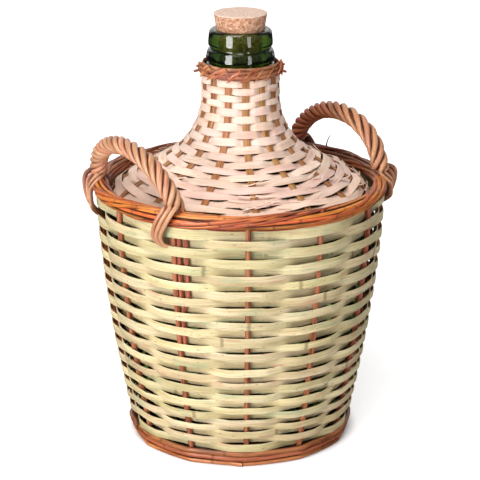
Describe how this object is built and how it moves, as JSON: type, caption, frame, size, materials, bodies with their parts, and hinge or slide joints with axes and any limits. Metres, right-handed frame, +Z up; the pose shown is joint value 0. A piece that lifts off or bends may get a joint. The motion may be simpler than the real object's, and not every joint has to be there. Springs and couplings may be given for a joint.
{
  "type": "wicker demijohn",
  "caption": "Green glass demijohn with a tapered cork, woven into a split-cane and willow basket with a chip-woven shoulder and two roped handles.",
  "frame": {"origin": "on the bottle's axis, on the plane that the foot border stands on", "axes": "+Z up along the bottle's axis, X through the two handles, Y square to them"},
  "size_m": [0.2394, 0.2394, 0.35],
  "materials": {
    "green_glass": "blown bottle glass, glossy",
    "cork": "agglomerated cork, matt",
    "willow_chip": "thin split willow chip, satin",
    "rib_splint": "brown splint, satin",
    "split_cane": "split cane, satin with green and brown streaks",
    "willow_rod": "boiled willow rod with bark tint, satin",
    "stake_rod": "dark willow rod, satin"
  },
  "bodies": {
    "basket_and_bottle": {"glass_bottle": "green_glass", "neck_collar": "rib_splint", "shoulder_weaver_a": "willow_chip", "shoulder_weaver_b": "willow_chip", "rim_border": "willow_rod", "wall_weaver_a": "split_cane", "wall_weaver_b": "split_cane", "foot_border": "willow_rod", "base_sticks": "stake_rod", "base_weaver": "willow_rod", "handle_bow_left": "stake_rod", "handle_bow_right": "stake_rod", "handle_rope_left": "willow_rod", "handle_rope_right": "willow_rod", "handle_tails_left": "willow_rod", "handle_tails_right": "willow_rod", "shoulder_rib_01": "rib_splint", "shoulder_rib_02": "rib_splint", "shoulder_rib_03": "rib_splint", "shoulder_rib_04": "rib_splint", "shoulder_rib_05": "rib_splint", "shoulder_rib_06": "rib_splint", "shoulder_rib_07": "rib_splint", "shoulder_rib_08": "rib_splint", "shoulder_rib_09": "rib_splint", "shoulder_rib_10": "rib_splint", "shoulder_rib_11": "rib_splint", "shoulder_rib_12": "rib_splint", "shoulder_rib_13": "rib_splint", "shoulder_rib_14": "rib_splint", "wall_stake_01": "stake_rod", "wall_stake_02": "stake_rod", "wall_stake_03": "stake_rod", "wall_stake_04": "stake_rod", "wall_stake_05": "stake_rod", "wall_stake_06": "stake_rod", "wall_stake_07": "stake_rod", "wall_stake_08": "stake_rod", "wall_stake_09": "stake_rod", "wall_stake_10": "stake_rod", "wall_stake_11": "stake_rod", "wall_stake_12": "stake_rod"},
    "cork": {"cork_stopper": "cork"}
  },
  "joints": [
    {"name": "cork_pull", "type": "slide", "parent": "basket_and_bottle", "child": "cork", "axis": [0, 0, 1], "range_m": [0, 0.07]}
  ]
}
